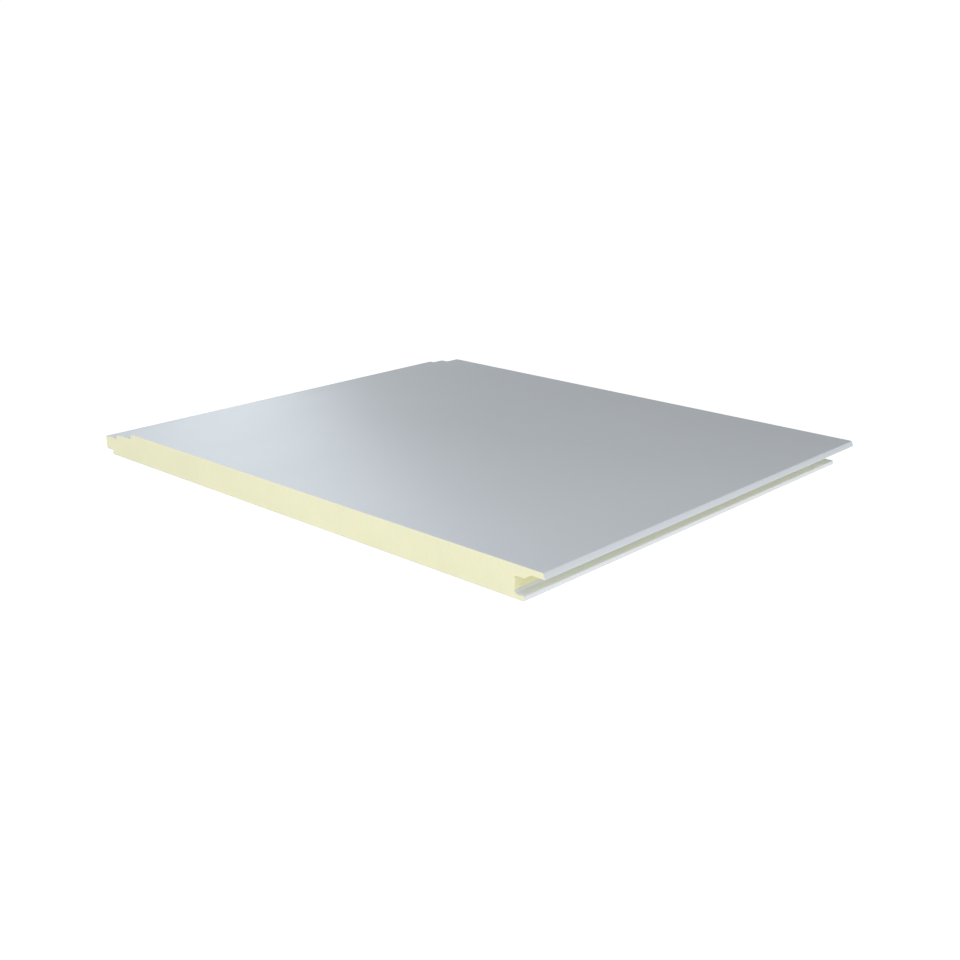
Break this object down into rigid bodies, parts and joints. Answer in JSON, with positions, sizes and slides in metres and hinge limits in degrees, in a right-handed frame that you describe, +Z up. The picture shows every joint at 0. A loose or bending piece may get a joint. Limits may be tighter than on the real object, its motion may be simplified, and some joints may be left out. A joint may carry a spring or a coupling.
{
  "type": "insulated sandwich panel",
  "caption": "Flat insulated sandwich panel: steel facings on a rigid foam core, with a tongue along one long edge and a matching groove under a lip along the other.",
  "frame": {"origin": "on the floor under the middle of the panel's overall box", "axes": "+X across the panel from the tongue edge to the groove edge, +Y along the cut length, +Z up out of the outer face"},
  "size_m": [1.2615, 1.005, 0.06],
  "materials": {
    "outer_steel": "smooth semi-gloss pale grey coil coating",
    "inner_steel": "smooth semi-gloss grey-white coil coating",
    "foam": "matt pale yellow closed-cell rigid foam, cut face"
  },
  "bodies": {
    "root": {"outer_facing": "outer_steel", "inner_facing": "inner_steel", "foam_core": "foam"}
  },
  "joints": []
}
